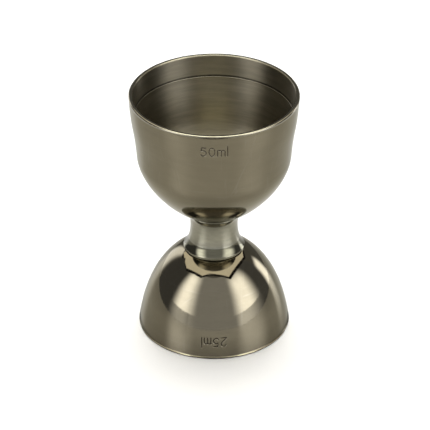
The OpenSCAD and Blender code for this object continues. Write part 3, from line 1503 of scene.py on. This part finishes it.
@dataclass
class WeldBead:
    """A hollow fillet weld round a foot, with the ripples that its passes leave.

    The bead is drawn on a seat at height 0, and turned over where it hangs under one. lean
    is how far a ripple bends along the bead's middle, in radians of its wave.
    """

    node: str
    hanging: bool = False
    leg: float = 1.0 * MM
    ripples: int = 44
    ripple_h: float = 0.05 * MM
    lean: float = 1.2
    finish: Finish = field(default_factory=WeldMetal)

    def build(self) -> bpy.types.Object:
        """Builds the bead's section and sinks a ripple, |sin| of the azimuth and the way across.

        Returns:
            The bead.
        """
        outer, low, high = reach(self.node)
        foot, middle = outer - self.leg, (outer, self.leg)
        made = [
            straight((foot, 0), (outer, 0), 0.4 * MM),
            Stretch(arc(middle, self.leg, 260, 245), 0.07 * MM, edge=1.0),
            Stretch(arc(middle, self.leg, 245, 205), 0.07 * MM, 1),
            Stretch(arc(middle, self.leg, 205, 190), 0.07 * MM, edge=1.0),
            straight((foot, self.leg), (foot, 0), 0.4 * MM),
        ]
        outline = Outline(made, closed=True)
        outline = outline.turned_over(high) if self.hanging else outline.moved(low)
        grid = outline.swept(columns(math.radians(0.75)))
        face = grid.zone == 1
        span = grid.along[face]
        across = np.clip((grid.along - span.min()) / np.ptp(span), 0, 1)[:, None]
        swell = 4 * across * (1 - across)
        wave = np.abs(np.sin(self.ripples / 2 * grid.azimuth + self.lean * swell))
        grid = grid.sunk(self.ripple_h * swell * (1 - wave), self.ripple_h)
        finish = self.finish.material()
        return shown(mesh_of(self.node + "_bead", grid, [finish, finish]), self.node)


# ---- Studio ------------------------------------------------------------------------


def sheet_of(label: str, points: Array, faces: list[list[int]]) -> bpy.types.Mesh:
    """A plain mesh.

    Args:
        label: its name.
        points: its points, in an array of any shape by 3.
        faces: the numbers of each face's corners.

    Returns:
        The mesh.
    """
    mesh = bpy.data.meshes.new(label)
    mesh.from_pydata(points.reshape(-1, 3).tolist(), [], faces)
    return mesh


@dataclass(frozen=True)
class Card:
    """A glowing panel on the wall of a round studio, seen only in reflections.

    It spans two azimuths, counted from the front towards +X, and two elevations, in
    degrees, and a rise that starts at 0 starts on the floor. Its light falls off to
    nothing over soft shares of its width at either side, and of its height at the top.
    """

    label: str
    turn: Point
    rise: Point
    glow: float
    tint: Colour = (1.0, 1.02, 1.1)
    soft: tuple[float, float, float] = (0.15, 0.15, 0.1)
    radius: float = 0.6

    def build(self, height: float) -> bpy.types.Object:
        """Builds the panel: (R sin a, -R cos a, height + R tan e) over azimuths a and elevations e.

        Args:
            height: the height from which the elevations are counted.

        Returns:
            The panel.
        """
        a = np.radians(np.linspace(*self.turn, 33))[None, :]
        low, high = height + self.radius * np.tan(np.radians(self.rise))
        z = np.linspace(low if self.rise[0] else 0.0, high, 9)[:, None]
        p = np.stack(np.broadcast_arrays(self.radius * np.sin(a), -self.radius * np.cos(a), z), -1)
        rows, count = p.shape[:2]
        quads = quads_of(rows, count, False).reshape(rows - 1, count, 4)[:, :-1].reshape(-1, 4)
        mesh = sheet_of(self.label, p, quads.tolist())
        uv = np.stack(np.meshgrid(np.linspace(0, 1, count), np.linspace(0, 1, rows)), -1).reshape(-1, 2)
        mesh.uv_layers.new(name="sheet").data.foreach_set("uv", uv[quads.ravel()].astype(np.float32).ravel())
        return glowing(mesh, self.glow, self.tint, self.soft)


@dataclass(frozen=True)
class Roof:
    """A large warm panel overhead, with a dark frame round it and a lamp under it.

    corners gives the panel's corners, and frame how much larger the frame is along X and Y.
    lamp gives the lamp's first and last X, and then its first and last Y.
    """

    height: float = 0.6
    corners: tuple[Point, ...] = ((-0.56, 0.67), (-0.59, 0.03), (-0.25, -0.293), (-0.07, -0.262),
                                  (0.32, -0.309), (0.54, 0.42), (0.4, 0.7))
    glow: float = 2.05
    tint: Colour = (1.0, 0.955, 0.86)
    frame: Point = (0.19, 0.12)
    frame_glow: float = 0.02
    lamp: tuple[float, float, float, float] = (-0.2, 0.24, -0.06, 0.34)
    lamp_drop: float = 0.02
    lamp_glow: float = 8.2
    lamp_tint: Colour = (0.93, 0.98, 0.93)

    def build(self, level: float) -> None:
        """Builds the panel and, a little higher, its larger frame, with the lamp below both.

        Args:
            level: the floor's height.
        """
        middle = np.mean(self.corners, 0)
        sheets = (("roof_frame", self.frame, self.frame_glow, 4 * MM),
                  ("roof_panel", (0.0, 0.0), self.glow, 0.0))
        for label, grow, glow, up in sheets:
            xy = middle + (np.array(self.corners) - middle) * (1 + np.array(grow))
            z = np.full((len(xy), 1), level + self.height + up)
            glowing(sheet_of(label, np.hstack([xy, z]), [list(range(len(xy)))]), glow, self.tint, None)
        x, y = np.meshgrid(self.lamp[:2], self.lamp[2:])
        p = np.stack([x, y, np.full(x.shape, level + self.height - self.lamp_drop)], -1)
        glowing(sheet_of("roof_lamp", p, [[0, 1, 3, 2]]), self.lamp_glow, self.lamp_tint, None)


def glowing(mesh: bpy.types.Mesh, glow: float, tint: Colour,
            soft: tuple[float, float, float] | None) -> bpy.types.Object:
    """Makes a mesh a glowing sheet that only reflections see.

    Args:
        mesh: the sheet, with a UV map "sheet" if its edges fade.
        glow: its radiance.
        tint: its colour.
        soft: the shares of its width and height over which its sides and its top fade.

    Returns:
        The sheet.
    """
    material = bpy.data.materials.new(mesh.name)
    g = Graph.of(material)
    light = g.add("Emission", {"Color": tint, "Strength": glow}).outputs[0]
    if soft:
        x, y, _ = g.add("SeparateXYZ", {0: g.add("UVMap", uv_map="sheet").outputs[0]}).outputs
        right = g.math("DIVIDE", g.math("SUBTRACT", 1.0, x), soft[1])
        side = g.math("MINIMUM", g.math("DIVIDE", x, soft[0]), right)
        top = g.math("DIVIDE", g.math("SUBTRACT", 1.0, y), soft[2])
        share = g.math("MULTIPLY", g.step(side, 0.0, 1.0), g.step(top, 0.0, 1.0))
        clear = g.add("BsdfTransparent").outputs[0]
        light = g.add("MixShader", {0: share, 1: clear, 2: light}).outputs[0]
    g.feed(g.add("OutputMaterial").inputs[0], light)
    mesh.materials.append(material)
    obj = in_scene(mesh.name, mesh)
    obj.visible_camera = obj.visible_diffuse = obj.visible_shadow = obj.visible_transmission = False
    return obj


@dataclass
class Studio:
    """A white floor, soft panels that the metal mirrors, one soft lamp above, and the camera.

    The metal mirrors the paper painted darker than the camera sees it, by mirrored_shade, and
    by foot_shade within foot_w of the jigger's foot: a painted shadow where little light comes
    in. distance and aim are in heights of the object. lamp_size and elevation are in degrees.
    """

    floor_r: float = 6.0
    paper: Colour = (0.88, 0.868, 0.835)
    paper_rough: float = 0.23
    tooth_shade: float = 0.985
    mirrored_shade: float = 0.56
    foot_shade: float = 0.08
    foot_w: float = 2.5 * MM
    opening: float = 1.4 * MM
    lamp: float = 5.15
    lamp_size: float = 56.0
    room: float = 0.22
    below: float = 1.1
    elevation: float = 31.43
    distance: float = 12.3
    aim: float = 0.469
    lens: float = 268.6
    shift: float = 0.0021
    roof: Roof = field(default_factory=Roof)
    cards: list[Card] = field(default_factory=lambda: [
        Card("left_softbox", (-80, -27), (6, 62), 4.7, soft=(0.4, 0.5, 0.6)),
        Card("left_skirt", (-82, -27), (0, 6), 1.5, soft=(0.4, 0.5, 0.01)),
        Card("right_softbox", (29, 93), (6, 58), 4.7, soft=(0.38, 0.45, 0.62)),
        Card("right_skirt", (33, 96), (0, 6), 2.2, soft=(0.2, 0.7, 0.01)),
        Card("front_wall", (-42, 48), (0, 58), 0.76, soft=(0.02, 0.02, 0.03), radius=0.62),
        Card("left_flag", (-126, -42), (0, 43), 0.15, soft=(0.03, 0.01, 0.06), radius=0.63),
        Card("right_flag", (48, 119), (0, 51), 0.2, soft=(0.01, 0.05, 0.06), radius=0.63),
        Card("left_back_strip", (-156, -126), (0, 34), 2.7, soft=(0.25, 0.45, 0.15)),
        Card("right_back_strip", (112, 136), (0, 23), 4.6, soft=(0.4, 0.4, 0.4), radius=0.59),
    ])

    def build(self) -> None:
        """Builds the whole studio round the object's box."""
        low, high = CAD_BOX
        self.floor(low.z, reach("lower_cup")[0])
        self.roof.build(low.z)
        for card in self.cards:
            card.build(low.z + self.aim * (high.z - low.z))
        self.lights()
        self.camera(low, high)

    def floor(self, level: float, base_r: float) -> None:
        """A white sheet with a faint sheen and a fine tooth, clear when seen from below, painted darker
        where the metal mirrors it.

        It is open under the cup, up to the opening's distance inside the rim, so that light
        from below reaches the inside.

        Args:
            level: its height.
            base_r: the radius of the rim that stands on it.
        """
        a = columns(math.radians(6))
        r = np.array([self.floor_r, 2.0, 0.8, 0.3, 0.12, 0.05, base_r - self.opening])[:, None]
        p = np.stack(np.broadcast_arrays(r * np.cos(a), r * np.sin(a), 0 * r + level), -1)
        mesh = sheet_of("floor", p, quads_of(len(r), len(a), False).tolist())
        material = bpy.data.materials.new("floor_paper")
        g = Graph.of(material)
        tooth = g.noise(g.spot(), 900.0, 3.0)
        white = g.blend(tooth, shade(self.paper, self.tooth_shade), self.paper)
        away = g.add("VectorMath", {0: g.spot()}, operation="LENGTH").outputs["Value"]
        # Painted shadow: rays other than the camera's see the paper darker by mirrored_shade, and darker
        # still by foot_shade next to the foot.
        near = g.step(away, base_r, base_r + self.foot_w)
        mirrored_paper_shade = g.blend(near, shade(self.paper, self.foot_shade), shade(self.paper, self.mirrored_shade))
        white = g.blend(g.add("LightPath").outputs["Is Camera Ray"], mirrored_paper_shade, white)
        inputs = {"Base Color": white, "Roughness": self.paper_rough,
                  "Normal": g.bump(tooth, 0.01 * MM, 0.3)}
        paper = g.add("BsdfPrincipled", inputs)
        back = g.add("NewGeometry").outputs["Backfacing"]
        mix = g.add("MixShader", {0: back, 1: paper.outputs[0], 2: g.add("BsdfTransparent").outputs[0]})
        g.feed(g.add("OutputMaterial").inputs[0], mix.outputs[0])
        mesh.materials.append(material)
        in_scene("floor", mesh)

    def lights(self) -> None:
        """One wide soft lamp from above and behind for the floor, and the room's own light.

        The room is brighter straight below, where only the open underside sees it.
        """
        lamp = bpy.data.lights.new("soft_lamp", "SUN")
        lamp.energy = self.lamp
        lamp.angle = math.radians(self.lamp_size)
        obj = in_scene("soft_lamp", lamp)
        obj.rotation_euler = Vector((0.0, 0.27, 1.0)).to_track_quat("Z", "Y").to_euler()
        obj.visible_glossy = False
        world = bpy.data.worlds.new("room")
        bpy.context.scene.world = world
        g = Graph.of(world)
        path = g.add("LightPath")
        up = g.add("SeparateXYZ", {0: g.add("TexCoord").outputs["Generated"]}).outputs[2]
        around = g.blend(g.step(up, -0.9, 0.0), (self.below,) * 3, (self.room,) * 3)
        seen = g.blend(path.outputs["Is Camera Ray"], around, (1.0, 1.0, 1.0))
        g.feed(g.add("OutputWorld").inputs[0], g.add("Background", {0: seen, 1: 1.0}).outputs[0])

    def camera(self, low: Vector, high: Vector) -> None:
        """The camera, which looks down at the aim from the elevation.

        Args:
            low: the lowest corner of the object's box.
            high: its highest corner.
        """
        data = bpy.data.cameras.new("camera")
        data.lens, data.sensor_width, data.shift_x = self.lens, 36.0, self.shift
        data.clip_start, data.clip_end = 0.01, 30.0
        obj = in_scene("camera", data)
        height = high.z - low.z
        target = Vector((0.0, 0.0, low.z + self.aim * height))
        e = math.radians(self.elevation)
        back = Vector((0.0, -math.cos(e), math.sin(e)))
        obj.location = target + back * self.distance * height
        obj.rotation_euler = back.to_track_quat("Z", "Y").to_euler()
        bpy.context.scene.camera = obj
        bpy.context.scene.view_settings.view_transform = "Standard"


def main() -> None:
    """Builds the studio and every piece of the jigger in order."""
    logging.basicConfig(level=logging.INFO, format="%(name)s %(message)s")
    Studio().build()
    _, _, rim = reach("upper_cup")
    lower_mark = Mark("25ml", 7.3 * MM, flipped=True, height=2.9 * MM, stroke=0.5 * MM, depth=0.2 * MM)
    pieces = [
        UpperCup("upper_cup", Mark("50ml", rim - 7.4 * MM), line_depth=7.75 * MM),
        LowerCup("lower_cup", lower_mark, line_depth=4.8 * MM, wear=0.12, upside_down=True),
        Neck(),
        Stud(),
        Boss(),
        WeldBead("stud_weld", hanging=True),
        WeldBead("boss_weld"),
        SealRing("upper_seal"),
        SealRing("lower_seal"),
    ]
    for piece in pieces:
        piece.build()


if __name__ == "__main__":
    main()
